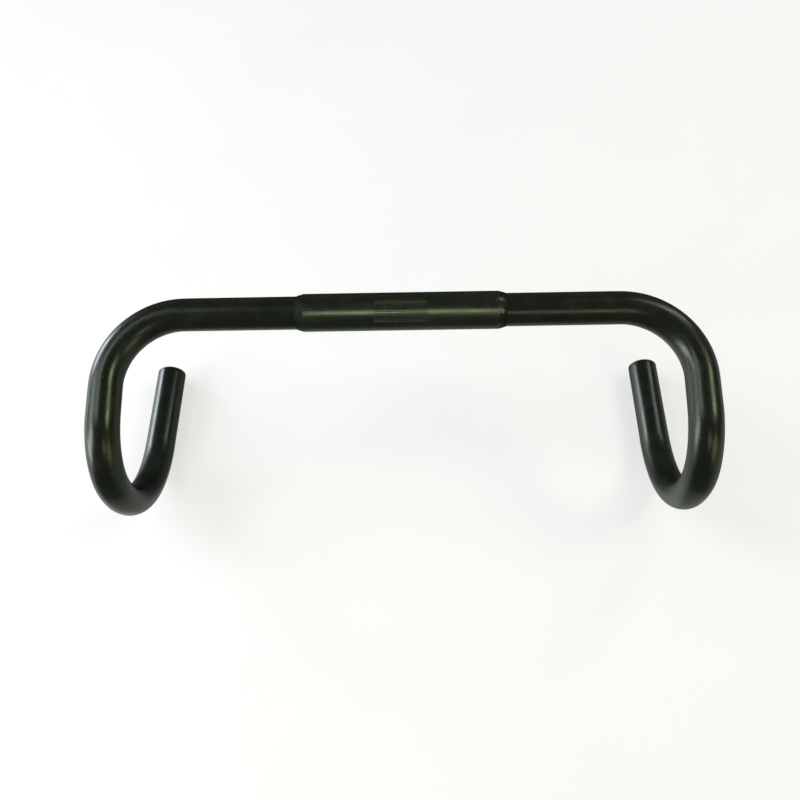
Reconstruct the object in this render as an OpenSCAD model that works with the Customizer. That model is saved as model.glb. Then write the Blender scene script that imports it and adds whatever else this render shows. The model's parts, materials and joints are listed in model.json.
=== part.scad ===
// Drop handlebar: one bent steel tube with a pressed-on centre sleeve.
// Units are millimetres. The origin is the middle of the stem clamp area, on the tube's axis.
// +X runs along the tops, -Y is forwards (the way the bicycle travels) and +Z is up.

/* [Tube] */
// Outside diameter of the bar tube
tube_d = 22.2; // [21:0.1:23.8]
// Wall thickness of the bar tube
wall_t = 1.2; // [0.8:0.1:2.2]
// Width of the bevel that breaks the edges of each cut end
end_bevel = 0.3; // [0.1:0.05:0.4]

/* [Tops] */
// Straight top on each side of the middle, up to the first bend
top_half = 145; // [120:1:170]
// Centreline radius of the bend from the top into the ramp
corner_r = 50; // [40:1:70]
// Fall of the ramp, for every 24 mm that it runs forwards
ramp_drop = 7; // [0:1:10]
// Straight ramp between the corner and the hook
ramp_len = 18; // [4:1:40]

/* [Hooks] */
// Centreline radius of the hook's upper bend
upper_r = 45; // [36:1:60]
// Centreline radius of the hook's lower bend
lower_r = 80; // [50:1:90]
// Straight drop from the hook back to the cut end
drop_len = 67; // [40:1:110]

/* [Centre sleeve] */
// Outside diameter of the sleeve, the stem's clamp size
sleeve_d = 25.4; // [25:0.1:26]
// Length of sleeve at full diameter
clamp_len = 130; // [90:1:150]
// Length of the cone at each end of the sleeve
shoulder_len = 4.5; // [3:0.5:10]
// Step left between the small end of each cone and the tube
shoulder_lip = 0.3; // [0.2:0.05:0.6]

/* [Grip lines] */
// Length of the fine lines cut along the middle of the sleeve
grip_len = 36; // [20:1:44]
// Number of lines
grip_count = 15; // [5:2:19]
// Angle between neighbouring lines, around the sleeve
grip_pitch = 5; // [4:0.5:5]
// Direction that the middle line faces, above straight ahead
grip_face = 57; // [0:1:90]
// Depth of each line
grip_depth = 0.15; // [0.05:0.05:0.2]
// Width of each line
grip_width = 0.35; // [0.2:0.05:0.5]

/* [Hidden] */
$fn = 96;
tube_r = tube_d / 2;
bore_r = tube_r - wall_t;
sleeve_r = sleeve_d / 2;
// Slope of the ramp, below level
ramp_angle = atan2(ramp_drop, 24);
sleeve_half = clamp_len / 2 + shoulder_len;
// Height of the boxes that cut the grip lines; most of it stands outside the sleeve
grip_box_h = 2;
// Extra turn swept at each end of a bend before it is cut square
spare_turn = 90;
// Side of the blocks that cut the bends, larger than any bend
block_size = 5 * max(corner_r, upper_r, lower_r);

// Cross-section of the tube wall
module ring() {
    difference() {
        circle(r = tube_r);
        circle(r = bore_r);
    }
}

// Straight run of tube along +Z, from the plane z = 0
module run(length) {
    linear_extrude(length) ring();
}

// Moves its children to the far end of a bend, heading along the tube again
module past_bend(radius, turn) {
    translate([radius, 0, 0])
        rotate([0, turn, 0])
            translate([-radius, 0, 0]) children();
}

// Block that fills the space behind the plane z = 0
module behind() {
    translate([0, 0, -block_size / 2]) cube(block_size, center = true);
}

// Bend that starts at the origin heading along +Z and turns towards +X.
// It is swept a quarter turn too far at both ends, then cut off square where it meets its neighbours.
module bend(radius, turn) {
    difference() {
        translate([radius, 0, 0])
            rotate([90, 0, 180])
                rotate([0, 0, -spare_turn])
                    rotate_extrude(angle = turn + 2 * spare_turn)
                        translate([radius, 0]) ring();
        behind();
        past_bend(radius, turn) mirror([0, 0, 1]) behind();
    }
}

// Moves its children to the far end of a straight run
module past_run(length) {
    translate([0, 0, length]) children();
}

// Straight drop along +Z, with both edges of its cut end bevelled
module drop_end() {
    rotate_extrude()
        polygon([
            [bore_r, 0],
            [tube_r, 0],
            [tube_r, drop_len - end_bevel],
            [tube_r - end_bevel, drop_len],
            [bore_r + end_bevel, drop_len],
            [bore_r, drop_len - end_bevel]
        ]);
}

// Hook that starts along the ramp, heading along +Z, and curls towards +X.
// The upper bend ends heading straight down, and the lower bend ends level, heading backwards.
module hook() {
    upper_turn = 90 - ramp_angle;
    lower_turn = 90;
    bend(upper_r, upper_turn);
    past_bend(upper_r, upper_turn) {
        bend(lower_r, lower_turn);
        past_bend(lower_r, lower_turn) drop_end();
    }
}

// Half of the bar from its middle to a cut end, starting along +Z and turning towards +X
module half_bar() {
    run(top_half);
    past_run(top_half) {
        bend(corner_r, 90);
        past_bend(corner_r, 90)
            rotate([0, 0, 90]) {
                run(ramp_len);
                past_run(ramp_len) hook();
            }
    }
}

module bar_tube() {
    color([0.11, 0.125, 0.105])
        for (side = [0, 1])
            mirror([side, 0, 0])
                rotate([ramp_angle, 0, 0])
                    rotate([90, 0, 90])
                        rotate([0, 0, 180]) half_bar();
}

// Sleeve before the grip lines: a tube along X with a cone at each end
module plain_sleeve() {
    rotate([0, 90, 0])
        rotate_extrude()
            polygon([
                [tube_r, -sleeve_half],
                [tube_r + shoulder_lip, -sleeve_half],
                [sleeve_r, -clamp_len / 2],
                [sleeve_r, clamp_len / 2],
                [tube_r + shoulder_lip, sleeve_half],
                [tube_r, sleeve_half]
            ]);
}

// Fine straight lines along the sleeve, which stop the bar turning in the stem
module grip_lines() {
    for (i = [-(grip_count - 1) / 2 : (grip_count - 1) / 2])
        rotate([-grip_face + i * grip_pitch, 0, 0])
            translate([0, -(sleeve_r - grip_depth + grip_box_h / 2), 0])
                cube([grip_len, grip_box_h, grip_width], center = true);
}

module centre_sleeve() {
    color([0.13, 0.15, 0.125])
        difference() {
            plain_sleeve();
            grip_lines();
        }
}

bar_tube();
centre_sleeve();
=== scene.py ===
"""Looks for the drop handlebar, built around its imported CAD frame. Units are metres."""

import json
import math

import bpy
from mathutils import Matrix, Vector


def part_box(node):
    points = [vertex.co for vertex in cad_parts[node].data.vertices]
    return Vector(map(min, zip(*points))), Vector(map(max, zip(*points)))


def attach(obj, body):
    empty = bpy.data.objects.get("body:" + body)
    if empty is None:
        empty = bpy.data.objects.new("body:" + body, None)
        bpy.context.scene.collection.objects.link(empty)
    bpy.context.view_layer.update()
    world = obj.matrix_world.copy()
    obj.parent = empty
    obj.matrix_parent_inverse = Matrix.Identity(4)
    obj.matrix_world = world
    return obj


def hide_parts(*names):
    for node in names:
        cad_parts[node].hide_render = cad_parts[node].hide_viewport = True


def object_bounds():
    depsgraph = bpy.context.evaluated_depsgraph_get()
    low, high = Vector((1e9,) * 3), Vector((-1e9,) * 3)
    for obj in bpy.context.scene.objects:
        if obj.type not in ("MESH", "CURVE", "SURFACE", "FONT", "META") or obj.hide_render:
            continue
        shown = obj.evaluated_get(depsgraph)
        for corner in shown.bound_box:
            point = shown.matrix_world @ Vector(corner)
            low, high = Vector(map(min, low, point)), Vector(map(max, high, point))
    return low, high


MM = 0.001
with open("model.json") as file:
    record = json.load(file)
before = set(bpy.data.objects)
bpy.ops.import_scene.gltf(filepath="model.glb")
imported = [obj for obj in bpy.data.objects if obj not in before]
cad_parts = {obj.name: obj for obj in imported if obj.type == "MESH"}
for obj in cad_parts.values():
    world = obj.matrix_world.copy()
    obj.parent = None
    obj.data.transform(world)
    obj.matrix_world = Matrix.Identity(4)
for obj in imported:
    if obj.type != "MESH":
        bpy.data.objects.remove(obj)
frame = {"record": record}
cad_low, cad_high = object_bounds()

# ---------------------------------------------------------------- sizes, read from the frame

mounts = {m["name"]: m for m in frame["record"]["mounts"]}
tube_low, tube_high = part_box("bar_tube")
sleeve_low, sleeve_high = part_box("centre_sleeve")

TUBE_R = mounts["right_drop"]["dims"]["r_mm"] * MM
BORE_R = mounts["right_bar_end"]["dims"]["r_mm"] * MM
SLEEVE_R = mounts["stem_clamp"]["dims"]["r_mm"] * MM
CLAMP_HALF = mounts["stem_clamp"]["dims"]["length_mm"] * MM / 2
SLEEVE_HALF = sleeve_high.x
HOOK_X = mounts["right_drop"]["pos_m"][0]
FRONT_Y = tube_low.y + TUBE_R
END_Y = tube_high.y

# Bend radii and the ramp's slope, the same as in the CAD
CORNER_R = 50 * MM
UPPER_R = 45 * MM
LOWER_R = 80 * MM
RAMP_ANGLE = math.atan2(7, 24)

TOP_HALF = HOOK_X - CORNER_R
RAMP_LEN = (-FRONT_Y - UPPER_R * (1 - math.sin(RAMP_ANGLE))) / math.cos(RAMP_ANGLE) - CORNER_R
DROP_LEN = END_Y - (FRONT_Y + LOWER_R)

# ---------------------------------------------------------------- helpers


def smooth(x):
    """0 below 0, 1 above 1, and an easy S between."""
    x = min(1.0, max(0.0, x))
    return x * x * (3 - 2 * x)


def closed_loop_of_rings(rings):
    """Points and quads joining each ring to the next, and the last ring to the first."""
    count = len(rings[0])
    faces = []
    for i in range(len(rings)):
        here, there = i * count, (i + 1) % len(rings) * count
        for k in range(count):
            after = (k + 1) % count
            faces.append((here + k, here + after, there + after, there + k))
    return [p for ring in rings for p in ring], faces


def new_piece(name, stands_for, points, faces, attributes):
    """A smooth mesh that rides on the bar's body and stands for a CAD node."""
    mesh = bpy.data.meshes.new(name)
    mesh.from_pydata(points, [], faces)
    for attribute, values in attributes.items():
        vector = hasattr(values[0], "__len__")
        layer = mesh.attributes.new(attribute, "FLOAT_VECTOR" if vector else "FLOAT", "POINT")
        flat = [c for v in values for c in v] if vector else values
        layer.data.foreach_set("vector" if vector else "value", flat)
    mesh.shade_smooth()
    piece = bpy.data.objects.new(name, mesh)
    bpy.context.scene.collection.objects.link(piece)
    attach(piece, "root")
    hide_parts(stands_for)
    return piece


# ---------------------------------------------------------------- the bent tube

RING_POINTS = 96
BEND_STEP = 1.6 * MM
RUN_STEP = 5 * MM
OVAL = 0.012  # share of the radius by which a bend flattens in its own plane
OVAL_BLEND = 10 * MM  # length over which the flattening comes and goes
BEVEL = 0.3 * MM  # rounding of the cut edges
BEVEL_STEPS = 4


def steps(length, step):
    """Even distances from just after 0 up to length, no further apart than step."""
    count = max(1, math.ceil(length / step))
    return [length * (i + 1) / count for i in range(count)]


def turn_about(radius, angle):
    """The move along a bend of this radius, from heading +Z towards +X."""
    centre = Matrix.Translation((radius, 0, 0))
    return centre @ Matrix.Rotation(angle, 4, "Y") @ centre.inverted()


# (radius or None for a straight run, length, roll before it)
HALF_PLAN = [
    (None, TOP_HALF, 0),
    (CORNER_R, CORNER_R * math.pi / 2, 0),
    (None, RAMP_LEN, math.pi / 2),
    (UPPER_R, UPPER_R * (math.pi / 2 - RAMP_ANGLE), 0),
    (LOWER_R, LOWER_R * math.pi / 2, 0),
    (None, DROP_LEN, 0),
]
HALF_LEN = sum(length for _, length, _ in HALF_PLAN)
CORNER_START = TOP_HALF
HOOK_START = TOP_HALF + HALF_PLAN[1][1] + RAMP_LEN
HOOK_END = HALF_LEN - DROP_LEN


def half_centreline():
    """Stations (frame, distance, roll) from the middle of the bar to its +X cut end.

    A frame's +Z runs along the tube and its +X is the way the next bend turns. Roll is how far
    the frames have turned about the tube since the middle.
    """
    along_x = Matrix(((0, 0, 1, 0), (-1, 0, 0, 0), (0, -1, 0, 0), (0, 0, 0, 1)))
    here = Matrix.Rotation(RAMP_ANGLE, 4, "X") @ along_x
    stations = [(here.copy(), 0.0, 0.0)]
    travelled, roll = 0.0, 0.0
    for radius, length, extra_roll in HALF_PLAN:
        here = here @ Matrix.Rotation(extra_roll, 4, "Z")
        roll += extra_roll
        for d in steps(length, BEND_STEP if radius else RUN_STEP):
            move = turn_about(radius, d / radius) if radius else Matrix.Translation((0, 0, d))
            stations.append((here @ move, travelled + d, roll))
        here = stations[-1][0].copy()
        travelled += length
    return stations


def flattening(distance, around):
    """Radius factor at a distance from the middle and an angle from the corner bend's plane."""

    def inside(start, end):
        return smooth((distance - start) / OVAL_BLEND + 0.5) * smooth((end - distance) / OVAL_BLEND + 0.5)

    corner = inside(CORNER_START, CORNER_START + HALF_PLAN[1][1])
    hook = inside(HOOK_START, HOOK_END)
    return 1 - OVAL * (corner - hook) * math.cos(2 * around)


def ring(station, radius, side):
    """One ring of points round the tube, and its places on the straightened tube."""
    place, distance, roll = station
    points, straight = [], []
    for k in range(RING_POINTS):
        around = 2 * math.pi * k / RING_POINTS
        r = radius * flattening(distance, around)
        p = place @ Vector((r * math.cos(around - roll), r * math.sin(around - roll), 0))
        points.append((side * p.x, p.y, p.z))
        straight.append((side * distance, radius * math.cos(around), radius * math.sin(around)))
    return points, straight


def end_rings(last, side):
    """Rings over the rounded cut edge, from the tube's outside to its bore."""
    place, distance, roll = last
    rings = []
    for start_r, sign in ((TUBE_R, -1), (BORE_R, 1)):
        turns = [math.pi / 2 * i / BEVEL_STEPS for i in range(BEVEL_STEPS + 1)]
        if sign > 0:
            turns.reverse()
        for turn in turns:
            back = BEVEL * (1 - math.sin(turn))
            r = start_r + sign * BEVEL * (1 - math.cos(turn))
            at = place @ Matrix.Translation((0, 0, -back))
            rings.append(ring((at, distance - back, roll), r, side))
    return rings


def build_tube():
    """The tube as one closed skin: outside, cut ends and bore."""
    half = half_centreline()
    body = [s for s in half if s[1] < HALF_LEN - BEVEL * 1.01]
    outside = [ring(s, TUBE_R, -1) for s in reversed(body[1:])] + [ring(s, TUBE_R, 1) for s in body]
    bore = [ring(s, BORE_R, 1) for s in reversed(body[1:])] + [ring(s, BORE_R, -1) for s in body]
    right = end_rings(half[-1], 1)
    left = list(reversed(end_rings(half[-1], -1)))
    loop = outside + right + bore + left
    points, faces = closed_loop_of_rings([r[0] for r in loop])
    straight = [p for r in loop for p in r[1]]
    piece = new_piece("bar_tube_skin", "bar_tube", points, faces, {"straight": straight})
    painted_rings = len(outside)
    bare_from = painted_rings + BEVEL_STEPS // 2
    bare_to = len(loop) - BEVEL_STEPS // 2 - 1
    for i, polygon in enumerate(piece.data.polygons):
        which = i // RING_POINTS
        polygon.material_index = 1 if bare_from <= which < bare_to else 0
    return piece


# ---------------------------------------------------------------- the centre sleeve

CREST_R = 2.0 * MM  # rounding where each cone meets the full diameter
LIP_R = 0.12 * MM  # rounding of the cone's small end
LIP = 0.3 * MM  # step down from the cone to the tube
FILLET = 0.45 * MM  # paint gathered between the sleeve's end and the tube
GRIP_LEN = 36 * MM
GRIP_COUNT = 15
GRIP_PITCH = math.radians(5)
GRIP_FACE = math.radians(57)  # the middle line's direction, above straight ahead
GRIP_DEPTH = 0.15 * MM
GRIP_WIDTH = 0.35 * MM
GRIP_RUN_OUT = 0.8 * MM  # length over which a line fades out at each end
SLEEVE_STEP = math.radians(2.5)
SLEEVE_RUN_STEP = 4 * MM
GRIP_CLEARANCE = 2.5 * MM  # no plain station stands nearer to the end of the grip lines
FILLET_STEPS = 4
SUNK = 0.05 * MM  # how far the sleeve's hidden inner face lies inside the tube's surface
SHOULDER_MIDDLE = CLAMP_HALF + 1.5 * MM


def rounded_corner(before, corner, after, radius, count=7):
    """Points along an arc that rounds a corner of a profile."""
    a = (Vector(before) - Vector(corner)).normalized()
    b = (Vector(after) - Vector(corner)).normalized()
    half = a.angle(b) / 2
    back = radius / math.tan(half)
    centre = Vector(corner) + (a + b).normalized() * (radius / math.sin(half))
    start, end = Vector(corner) + a * back - centre, Vector(corner) + b * back - centre
    turn = start.angle_signed(end)
    spin = [Matrix.Rotation(-turn * i / (count - 1), 2) @ start for i in range(count)]
    return [tuple(centre + p) for p in spin]


def sleeve_profile():
    """Half of the sleeve's outline as (x, radius), from its middle to the tube at its +X end."""
    foot = (SLEEVE_HALF + FILLET, TUBE_R)
    lip_top = (SLEEVE_HALF, TUBE_R + LIP)
    crest = (CLAMP_HALF, SLEEVE_R)
    grip_end = GRIP_LEN / 2
    plain = steps(CLAMP_HALF - SLEEVE_RUN_STEP, SLEEVE_RUN_STEP)
    flat = [x for x in plain if abs(x - grip_end) > GRIP_CLEARANCE]
    flat += [grip_end + share * GRIP_RUN_OUT for share in (-1, -0.5, 0, 0.25)]
    profile = [(0.0, SLEEVE_R)] + [(x, SLEEVE_R) for x in sorted(flat)]
    profile += rounded_corner((0, SLEEVE_R), crest, lip_top, CREST_R)
    profile += rounded_corner(crest, lip_top, (SLEEVE_HALF, TUBE_R), LIP_R, 4)
    for i in range(FILLET_STEPS + 1):
        turn = math.pi / 2 * i / FILLET_STEPS
        x = SLEEVE_HALF + FILLET * (1 - math.cos(turn))
        r = TUBE_R + (LIP - LIP_R) * (1 - math.sin(turn))
        profile.append((x, r))
    profile[-1] = foot
    return profile


def sleeve_angles():
    """Angles round the sleeve, each with how deep a grip line cuts and how near its rim is, 0 to 1."""
    half_width = GRIP_WIDTH / SLEEVE_R / 2
    spread = [(-1.35, 0, 0), (-1.0, 0, 1), (-0.55, 1, 0), (0.55, 1, 0), (1.0, 0, 1), (1.35, 0, 0)]
    angles = []
    for i in range(GRIP_COUNT):
        middle = (i - (GRIP_COUNT - 1) / 2) * GRIP_PITCH
        angles += [(middle + side * half_width, depth, near) for side, depth, near in spread]
    first = angles[0][0]
    last = angles[-1][0]
    rest = 2 * math.pi - (last - first)
    angles += [(last + d, 0, 0) for d in steps(rest, SLEEVE_STEP)[:-1]]
    return angles


def build_sleeve():
    """The sleeve as one closed skin with its grip lines cut in."""
    half = sleeve_profile()
    outline = [(-x, r) for x, r in reversed(half[1:])] + half
    outline.append((outline[-1][0], TUBE_R - SUNK))
    outline.append((outline[0][0], TUBE_R - SUNK))
    rings, straight, edge, shoulder, groove, beside = [], [], [], [], [], []
    for x, r in reversed(outline):
        in_grip = smooth((GRIP_LEN / 2 - abs(x)) / GRIP_RUN_OUT)
        points = []
        for angle, depth, near in sleeve_angles():
            deep = r - GRIP_DEPTH * depth * in_grip if r > TUBE_R else r
            groove.append(depth * in_grip)
            beside.append(near * in_grip)
            up = GRIP_FACE + angle
            points.append((x, -deep * math.cos(up), deep * math.sin(up)))
            straight.append((x, r * math.cos(up), r * math.sin(up)))
            edge.append(math.exp(-(((abs(x) - SHOULDER_MIDDLE) / (2 * MM)) ** 2)))
            shoulder.append(smooth((abs(x) - CLAMP_HALF) / (1.5 * MM) + 0.5))
        rings.append(points)
    points, faces = closed_loop_of_rings(rings)
    attributes = {"straight": straight, "edge": edge, "shoulder": shoulder}
    attributes.update({"groove": groove, "beside_groove": beside})
    piece = new_piece("centre_sleeve_skin", "centre_sleeve", points, faces, attributes)
    return piece


tube = build_tube()
sleeve = build_sleeve()

# ---------------------------------------------------------------- node helpers


class Nodes:
    """Short calls that add nodes to one node tree. A socket or a value can feed any input."""

    def __init__(self, tree):
        self.tree = tree

    def add(self, kind, inputs=(), **settings):
        """Adds a node. Inputs are (name or number, value or socket) pairs."""
        made = self.tree.nodes.new(kind)
        for name, value in settings.items():
            setattr(made, name, value)
        for key, value in inputs:
            if isinstance(value, bpy.types.NodeSocket):
                self.tree.links.new(value, made.inputs[key])
            else:
                made.inputs[key].default_value = value
        return made

    def math(self, operation, a, b=0.0, clamp=False):
        pairs = ((0, a), (1, b))
        return self.add("ShaderNodeMath", pairs, operation=operation, use_clamp=clamp).outputs[0]

    def scaled(self, vector, factors):
        pairs = ((0, vector), (1, factors))
        return self.add("ShaderNodeVectorMath", pairs, operation="MULTIPLY").outputs[0]

    def length(self, vector):
        return self.add("ShaderNodeVectorMath", ((0, vector),), operation="LENGTH").outputs["Value"]

    def noise(self, vector, scale, detail=2.0, rough=0.5):
        """Noise from 0 to 1, about 0.5 on average."""
        pairs = (("Vector", vector), ("Scale", scale), ("Detail", detail), ("Roughness", rough))
        return self.add("ShaderNodeTexNoise", pairs).outputs["Fac"]

    def ramp(self, value, start, end, low=0.0, high=1.0):
        """Smooth change from low to high as value goes from start to end."""
        pairs = (("Value", value), (1, start), (2, end), (3, low), (4, high))
        made = self.add("ShaderNodeMapRange", pairs, interpolation_type="SMOOTHSTEP")
        return made.outputs["Result"]

    def mix(self, factor, a, b):
        """Colour a where factor is 0 and b where it is 1."""
        colours = [c if isinstance(c, bpy.types.NodeSocket) else (*c, 1) for c in (a, b)]
        pairs = (("Factor", factor), (6, colours[0]), (7, colours[1]))
        return self.add("ShaderNodeMix", pairs, data_type="RGBA").outputs[2]

    def blend(self, factor, a, b):
        """Number a where factor is 0 and b where it is 1."""
        pairs = (("Factor", factor), (2, a), (3, b))
        return self.add("ShaderNodeMix", pairs, data_type="FLOAT").outputs[0]

    def attribute(self, name, output="Fac"):
        return self.add("ShaderNodeAttribute", attribute_name=name).outputs[output]

    def bump(self, height, distance, under=None):
        """Bump in which height 1 stands distance metres above height 0."""
        pairs = [("Height", height), ("Distance", distance), ("Strength", 1.0)]
        if under is not None:
            pairs.append(("Normal", under))
        return self.add("ShaderNodeBump", pairs).outputs["Normal"]


def new_material(name):
    """An empty material, with its Nodes helper and its Principled BSDF."""
    material = bpy.data.materials.new(name)
    material.use_nodes = True
    return material, Nodes(material.node_tree), material.node_tree.nodes["Principled BSDF"]


def feed(nodes, shader, **values):
    """Links or sets inputs of a shader, named with _ for each space."""
    for name, value in values.items():
        socket = shader.inputs[name.replace("_", " ")]
        if isinstance(value, bpy.types.NodeSocket):
            nodes.tree.links.new(value, socket)
        else:
            socket.default_value = value


# ---------------------------------------------------------------- materials

GREEN_BLACK = (0.0035, 0.0060, 0.0035)
BROWN_BLACK = (0.0062, 0.0060, 0.0037)
GREEN_SHEEN = (0.84, 1.0, 0.80)
DUST = (0.16, 0.155, 0.14)
PRIMER = (0.13, 0.11, 0.085)
STEEL = (0.46, 0.45, 0.43)
RUST = (0.11, 0.045, 0.018)
DARK_RUST = (0.05, 0.025, 0.014)
POLISHED = (0.09, 0.10, 0.085)  # rubbed paint beside the grip lines
GRIME = (0.02, 0.024, 0.018)
PALE = (0.965, 0.965, 0.955)
DIM_GREEN = (0.95, 1.0, 0.93)  # tint of what the paint mirrors from the floor and the room

TUBE_ROUGH = 0.27
TUBE_SPECULAR = 0.5
SLEEVE_ROUGH = 0.29
SLEEVE_SPECULAR = 0.55
SHOULDER_SPECULAR = 0.10
# Two lighter spots in the paint's colour on the +X shoulder: angle above straight ahead, reach and colour
SHOULDER_SPOTS = (
    (math.radians(49), 4.4 * MM, (0.15, 0.115, 0.08)),
    (math.radians(88), 4.1 * MM, (0.10, 0.105, 0.10)),
)
FLOOR_GLOW = 0.60
# Level direction from the windows towards the bar
FROM_WINDOWS_X = 0.985
FROM_WINDOWS_Y = -0.174


def scratches(n, place, along, across, sparse):
    """Thin broken lines, 1 on a line: where a stretched noise crosses one level."""
    field = n.noise(n.scaled(place, (along, across, across)), 1.0, 3.0, 0.6)
    line = n.ramp(n.math("ABSOLUTE", n.math("SUBTRACT", field, 0.5)), 0.0, 0.006, 1.0, 0.0)
    where = n.ramp(n.noise(place, 45.0), sparse, sparse + 0.06)
    return n.math("MULTIPLY", line, where)


def specks(n, place, scale, size, share):
    """Small round specks, 1 on a speck, in this share of the cells."""
    cell = n.add("ShaderNodeTexVoronoi", (("Vector", place), ("Scale", scale)))
    inside = n.ramp(cell.outputs["Distance"], size * 0.6, size, 1.0, 0.0)
    pick = n.add("ShaderNodeSeparateColor", ((0, cell.outputs["Color"]),)).outputs[0]
    return n.math("MULTIPLY", inside, n.math("LESS_THAN", pick, share))


def paint(name, gloss_rough, specular, line_stretch):
    """Thin semi-gloss black paint over worked steel.

    Returns the parts that the tube and the sleeve go on to change.
    """
    material, n, shader = new_material(name)
    place = n.add("ShaderNodeTexCoord").outputs["Object"]
    straight = n.attribute("straight", "Vector")
    blotch = n.noise(place, 22.0, 3.0)
    smudge = n.noise(place, 75.0, 4.0, 0.6)
    grain = n.noise(place, 2600.0, 1.0)
    peel = n.noise(place, 620.0, 2.0, 0.45)
    lines = n.noise(n.scaled(straight, line_stretch), 1.0, 3.0, 0.65)
    scratch = scratches(n, straight, 35.0, 420.0, 0.60)
    speck = specks(n, place, 420.0, 0.16, 0.035)

    colour = n.mix(n.ramp(blotch, 0.36, 0.66), GREEN_BLACK, BROWN_BLACK)
    colour = n.mix(n.ramp(smudge, 0.45, 0.8, 0.0, 0.035), colour, DUST)
    colour = n.mix(n.math("MULTIPLY", scratch, 0.10), colour, DUST)
    colour = n.mix(n.math("MULTIPLY", speck, 0.45), colour, DUST)

    rough = n.ramp(smudge, 0.3, 0.75, gloss_rough - 0.03, gloss_rough + 0.05)
    rough = n.math("ADD", rough, n.math("MULTIPLY", n.math("SUBTRACT", grain, 0.5), 0.08))
    rough = n.math("ADD", rough, n.math("MULTIPLY", scratch, 0.14))
    rough = n.math("ADD", rough, n.math("MULTIPLY", speck, 0.3), clamp=True)

    normal = n.bump(peel, 0.012 * MM)
    normal = n.bump(lines, 0.006 * MM, normal)
    normal = n.bump(grain, 0.0022 * MM, normal)
    normal = n.bump(scratch, -0.004 * MM, normal)
    feed(n, shader, Specular_IOR_Level=specular, Specular_Tint=(*GREEN_SHEEN, 1))
    parts = {
        "place": place,
        "straight": straight,
        "colour": colour,
        "rough": rough,
        "normal": normal,
    }
    return material, n, shader, parts


def tube_paint():
    """Paint over drawn tube: fine lines run along it, and steel shows at the cut edges."""
    material, n, shader, p = paint("tube_paint", TUBE_ROUGH, TUBE_SPECULAR, (28.0, 1500.0, 1500.0))
    along = n.add("ShaderNodeSeparateXYZ", ((0, p["straight"]),)).outputs[0]
    to_end = n.math("SUBTRACT", HALF_LEN, n.math("ABSOLUTE", along))
    ragged = n.math("MULTIPLY", n.noise(p["place"], 900.0, 3.0), 1.1 * MM)
    worn = n.ramp(n.math("SUBTRACT", to_end, ragged), -0.45 * MM, 0.1 * MM, 1.0, 0.0)
    feed(
        n,
        shader,
        Base_Color=n.mix(worn, p["colour"], STEEL),
        Metallic=worn,
        Roughness=n.blend(worn, p["rough"], 0.42),
        Normal=p["normal"],
    )
    return material


def sleeve_paint():
    """Paint over turned steel: rubbed at the crests, duller on the shoulders, with two lighter spots of
    colour on one.
    """
    material, n, shader, p = paint("sleeve_paint", SLEEVE_ROUGH, SLEEVE_SPECULAR, (2400.0, 26.0, 26.0))
    patch_noise = n.noise(p["place"], 330.0, 4.0, 0.65)
    ragged = n.noise(p["place"], 700.0, 3.0, 0.7)
    along = n.add("ShaderNodeSeparateXYZ", ((0, p["straight"]),)).outputs[0]
    wear = n.ramp(along, -CLAMP_HALF, CLAMP_HALF, 0.66, 0.57)
    level = n.math("SUBTRACT", patch_noise, wear)
    rubbed = n.math("MULTIPLY", n.attribute("edge"), n.ramp(level, 0.0, 0.05))
    groove = n.attribute("groove")
    crest = n.ramp(n.attribute("beside_groove"), 0.2, 0.9)
    crest = n.math("MULTIPLY", crest, n.ramp(patch_noise, 0.46, 0.62))
    colour = n.mix(n.math("MULTIPLY", crest, 0.05), p["colour"], POLISHED)
    colour = n.mix(n.math("MULTIPLY", groove, 0.1), colour, GRIME)
    colour = n.mix(n.math("MULTIPLY", rubbed, 0.7), colour, PRIMER)
    dull_shoulder = n.ramp(n.attribute("shoulder"), 0.0, 1.0, SLEEVE_SPECULAR, SHOULDER_SPECULAR)
    rough_shoulder = n.math("MULTIPLY", n.attribute("shoulder"), 0.20)
    # Two lighter spots are mixed into the +X shoulder's colour, each patchy in tone
    for angle, length, spot_colour in SHOULDER_SPOTS:
        spot = (SHOULDER_MIDDLE, SLEEVE_R * math.cos(angle), SLEEVE_R * math.sin(angle))
        pairs = ((0, p["straight"]), (1, spot))
        apart = n.add("ShaderNodeVectorMath", pairs, operation="SUBTRACT").outputs[0]
        apart = n.length(n.scaled(apart, (0.6, 1, 1)))
        apart = n.math("ADD", apart, n.math("MULTIPLY", ragged, 5 * MM))
        spot_mask = n.ramp(apart, 0.85 * length, length, 1.0, 0.0)
        spot_tone = n.mix(n.ramp(patch_noise, 0.35, 0.60), tuple(0.35 * c for c in spot_colour), spot_colour)
        colour = n.mix(spot_mask, colour, spot_tone)
    feed(
        n,
        shader,
        Base_Color=colour,
        Roughness=n.math("ADD", p["rough"], rough_shoulder, clamp=True),
        Specular_IOR_Level=n.blend(groove, dull_shoulder, 0.2),
        Normal=p["normal"],
    )
    return material


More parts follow.
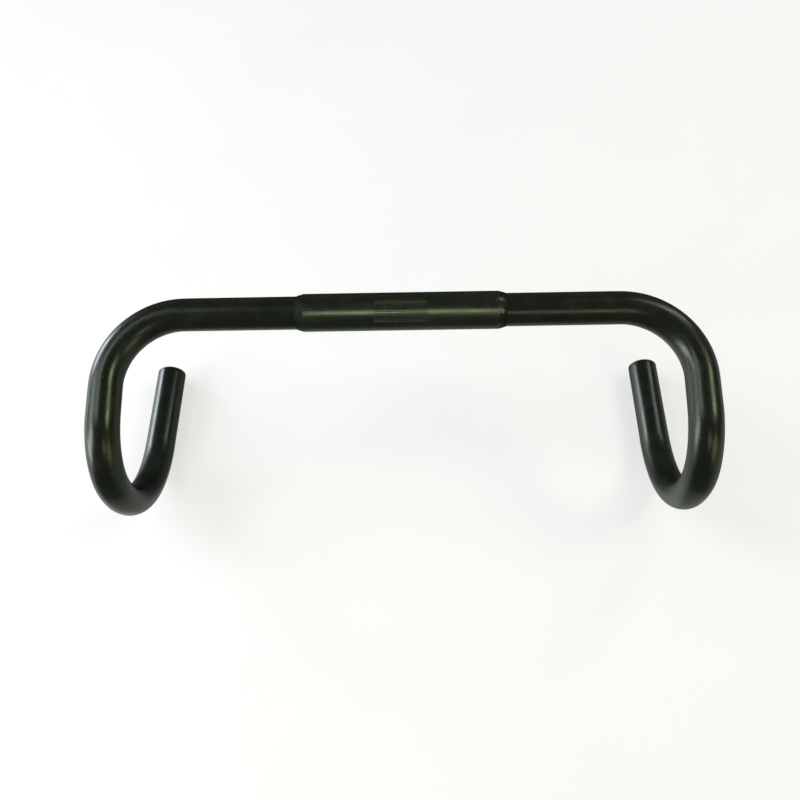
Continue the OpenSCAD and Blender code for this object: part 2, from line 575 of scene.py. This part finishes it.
def bare_steel():
    """Cut face and bore: faced steel, spotted with rust, with paint blown a little way inside."""
    material, n, shader = new_material("bare_steel")
    place = n.add("ShaderNodeTexCoord").outputs["Object"]
    straight = n.attribute("straight", "Vector")
    parts = n.add("ShaderNodeSeparateXYZ", ((0, straight),))
    along = parts.outputs[0]
    to_end = n.math("SUBTRACT", HALF_LEN, n.math("ABSOLUTE", along))
    across = n.add("ShaderNodeCombineXYZ", ((1, parts.outputs[1]), (2, parts.outputs[2]))).outputs[0]
    radius = n.length(across)
    saw_marks = n.noise(n.scaled(place, (9000.0, 40.0, 900.0)), 1.0, 3.0, 0.7)
    draw_marks = n.noise(n.scaled(straight, (20.0, 1800.0, 1800.0)), 1.0, 3.0, 0.65)
    in_bore = n.ramp(to_end, 0.2 * MM, 0.5 * MM)
    marks = n.blend(in_bore, saw_marks, draw_marks)
    stain = n.noise(place, 240.0, 5.0, 0.65)
    spots = n.math("MULTIPLY", n.ramp(stain, 0.50, 0.66), 0.8)
    deep_rust = n.ramp(to_end, 2 * MM, 40 * MM, 0.0, 0.85)
    deep_rust = n.math("MULTIPLY", deep_rust, n.ramp(stain, 0.3, 0.5))
    rusty = n.math("MAXIMUM", spots, deep_rust)
    ragged = n.math("MULTIPLY", n.noise(place, 500.0, 3.0), 14 * MM)
    sprayed = n.ramp(n.math("SUBTRACT", to_end, ragged), -2 * MM, 4 * MM, 1.0, 0.0)
    off_face = n.ramp(radius, BORE_R + 0.02 * MM, BORE_R + 0.2 * MM, 1.0, 0.35)
    sprayed = n.math("MULTIPLY", sprayed, off_face)
    metal = n.math("MULTIPLY", n.math("SUBTRACT", 1.0, rusty), n.math("SUBTRACT", 1.0, sprayed))
    colour = n.mix(rusty, STEEL, n.mix(n.noise(place, 1500.0), RUST, DARK_RUST))
    colour = n.mix(sprayed, colour, GREEN_BLACK)
    rough = n.ramp(marks, 0.3, 0.7, 0.32, 0.5)
    feed(
        n,
        shader,
        Base_Color=colour,
        Metallic=metal,
        Roughness=n.math("ADD", rough, n.math("MULTIPLY", rusty, 0.35), clamp=True),
        Normal=n.bump(marks, 0.02 * MM, n.bump(stain, 0.03 * MM)),
    )
    return material


def floor_surface():
    """Pale matt board with a faint mottle. It glows, so that shadows stay faint.

    Further out it turns into the pale surroundings. What the bar mirrors is a dimmer floor,
    brightest below the windows and darkest at the back.
    """
    material, n, shader = new_material("floor_board")
    material.cycles.emission_sampling = "NONE"
    place = n.add("ShaderNodeTexCoord").outputs["Object"]
    back = n.add("ShaderNodeSeparateXYZ", ((0, n.add("ShaderNodeNewGeometry").outputs["Incoming"]),))
    flat = n.math("SQRT", n.math("SUBTRACT", 1.0, n.math("POWER", back.outputs[2], 2.0)))
    across = n.math("MULTIPLY", back.outputs[0], FROM_WINDOWS_X)
    across = n.math("ADD", across, n.math("MULTIPLY", back.outputs[1], FROM_WINDOWS_Y))
    to_windows = n.ramp(n.math("DIVIDE", across, flat), 0.68, 0.95)
    window_glow = n.ramp(back.outputs[2], 0.0, 0.55, 2.6, 0.8)
    level = n.ramp(back.outputs[0], -0.95, -0.4, 0.50, 0.12)
    level = n.math("MULTIPLY", level, n.ramp(back.outputs[1], -0.9, -0.4, 0.35, 1.0))
    level = n.math("ADD", level, n.ramp(back.outputs[2], 0.72, 0.92, 0.0, 0.3))
    level = n.blend(to_windows, level, window_glow)
    mirrored = n.add("ShaderNodeEmission", (("Color", (*DIM_GREEN, 1)), ("Strength", level)))
    distance = n.length(place)
    far = n.add("ShaderNodeEmission", (("Color", (*PALE, 1)), ("Strength", 1.0)))
    pairs = ((0, n.ramp(distance, 0.45, 1.30)), (1, shader.outputs[0]), (2, far.outputs[0]))
    seen = n.add("ShaderNodeMixShader", pairs)
    glossy = n.add("ShaderNodeLightPath").outputs["Is Glossy Ray"]
    both = n.add("ShaderNodeMixShader", ((0, glossy), (1, seen.outputs[0]), (2, mirrored.outputs[0])))
    n.tree.links.new(both.outputs[0], n.tree.nodes["Material Output"].inputs["Surface"])
    tone = n.ramp(n.noise(place, 9.0, 4.0), 0.25, 0.75, 0.0, 1.0)
    colour = n.mix(tone, (0.44, 0.44, 0.437), (0.46, 0.46, 0.457))
    feed(
        n,
        shader,
        Base_Color=colour,
        Roughness=0.85,
        Specular_IOR_Level=0.2,
        Emission_Color=(1.0, 1.0, 0.995, 1),
        Emission_Strength=FLOOR_GLOW,
        Normal=n.bump(n.noise(place, 700.0, 3.0), 0.05 * MM),
    )
    return material


tube.data.materials.append(tube_paint())
tube.data.materials.append(bare_steel())
sleeve.data.materials.append(sleeve_paint())

# ---------------------------------------------------------------- floor and surroundings

FLOOR_HALF = 6.0
CENTRE = (cad_low + cad_high) / 2
AMBIENT = 0.14
DAYLIGHT = (0.79, 0.83, 1.0)
WHITE = (0.95, 0.96, 1.0)
OLIVE = (0.98, 1.0, 0.70)
WARM = (1.0, 0.86, 0.64)
TAN = (1.0, 0.76, 0.45)


def build_floor():
    corners = [(x, y, cad_low.z) for x, y in ((-1, -1), (1, -1), (1, 1), (-1, 1))]
    corners = [(x * FLOOR_HALF, y * FLOOR_HALF, z) for x, y, z in corners]
    mesh = bpy.data.meshes.new("floor")
    mesh.from_pydata(corners, [], [(0, 1, 2, 3)])
    floor = bpy.data.objects.new("floor", mesh)
    floor.data.materials.append(floor_surface())
    bpy.context.scene.collection.objects.link(floor)


def build_world():
    """Pale to the camera, and dim to everything else, so the lights shape the bar."""
    world = bpy.data.worlds.new("surroundings")
    world.use_nodes = True
    n = Nodes(world.node_tree)
    output = world.node_tree.nodes["World Output"]
    seen = n.add("ShaderNodeBackground", (("Color", (*PALE, 1)), ("Strength", 1.0)))
    dim = n.add("ShaderNodeBackground", (("Color", (*DIM_GREEN, 1)), ("Strength", AMBIENT)))
    to_camera = n.add("ShaderNodeLightPath").outputs["Is Camera Ray"]
    both = n.add("ShaderNodeMixShader", ((0, to_camera), (1, dim.outputs[0]), (2, seen.outputs[0])))
    world.node_tree.links.new(both.outputs[0], output.inputs["Surface"])
    bpy.context.scene.world = world


def soft_light(name, azimuth, elevation, distance, width, height, radiance, colour):
    """A rectangular light that faces the bar and that the camera can't see.

    Azimuth 0 is in front of the bar and 90 is its +X end.
    """
    data = bpy.data.lights.new(name, "AREA")
    data.shape = "RECTANGLE"
    data.size = width
    data.size_y = height
    data.energy = radiance * math.pi * width * height
    data.color = colour
    light = bpy.data.objects.new(name, data)
    light.visible_camera = False
    bpy.context.scene.collection.objects.link(light)
    az, el = math.radians(azimuth), math.radians(elevation)
    away = Vector((math.sin(az) * math.cos(el), -math.cos(az) * math.cos(el), math.sin(el)))
    facing = away.to_track_quat("Z", "Y").to_matrix().to_4x4()
    light.matrix_world = Matrix.Translation(CENTRE + away * distance) @ facing
    return light


build_floor()
build_world()
overhead = soft_light("overhead_strip", -2, 52, 1.2, 0.36, 0.30, 10.0, OLIVE)
# The photo shows this light on the sleeve and not on the tops beside it, so only the sleeve gets it
only_sleeve = bpy.data.collections.new("only_sleeve")
only_sleeve.objects.link(sleeve)
overhead.light_linking.receiver_collection = only_sleeve
soft_light("front_right_lamp", 18, 34, 1.3, 0.35, 0.35, 2.4, WARM)
soft_light("back_left_window", -119, 11, 2.2, 0.64, 0.75, 14.0, DAYLIGHT)
soft_light("left_window", -92, 30, 1.6, 0.50, 0.85, 4.0, WHITE)
soft_light("left_high_window", -86, 59, 1.6, 0.70, 0.45, 3.6, WHITE)
soft_light("front_left_window", -70, 15, 1.2, 0.38, 0.80, 8.0, WHITE)
soft_light("right_high_lamp", 84, 47, 2.6, 0.95, 0.75, 7.0, OLIVE)
soft_light("right_front_lamp", 46, 15, 1.45, 0.65, 0.60, 2.0, TAN)
soft_light("back_right_strip", 129, 42, 1.4, 0.15, 0.80, 6.0, WHITE)

# ---------------------------------------------------------------- camera

CAMERA_EL = math.radians(57.55)
CAMERA_AZ = math.radians(2.60)
CAMERA_ROLL = math.radians(-3.01)
CAMERA_TARGET = Vector((-1.5, -50, -31.7)) * MM
CAMERA_DISTANCE = 604.4 * MM
CAMERA_LENS = 40.7


def build_camera():
    data = bpy.data.cameras.new("camera")
    data.lens = CAMERA_LENS
    data.sensor_width = 36
    data.clip_start = 0.01
    camera = bpy.data.objects.new("camera", data)
    bpy.context.scene.collection.objects.link(camera)
    flat = math.cos(CAMERA_EL)
    away = Vector((math.sin(CAMERA_AZ) * flat, -math.cos(CAMERA_AZ) * flat, math.sin(CAMERA_EL)))
    facing = away.to_track_quat("Z", "Y").to_matrix().to_4x4()
    roll = Matrix.Rotation(CAMERA_ROLL, 4, "Z")
    camera.matrix_world = Matrix.Translation(CAMERA_TARGET + away * CAMERA_DISTANCE) @ facing @ roll
    bpy.context.scene.camera = camera


build_camera()
bpy.context.scene.view_settings.view_transform = "Standard"
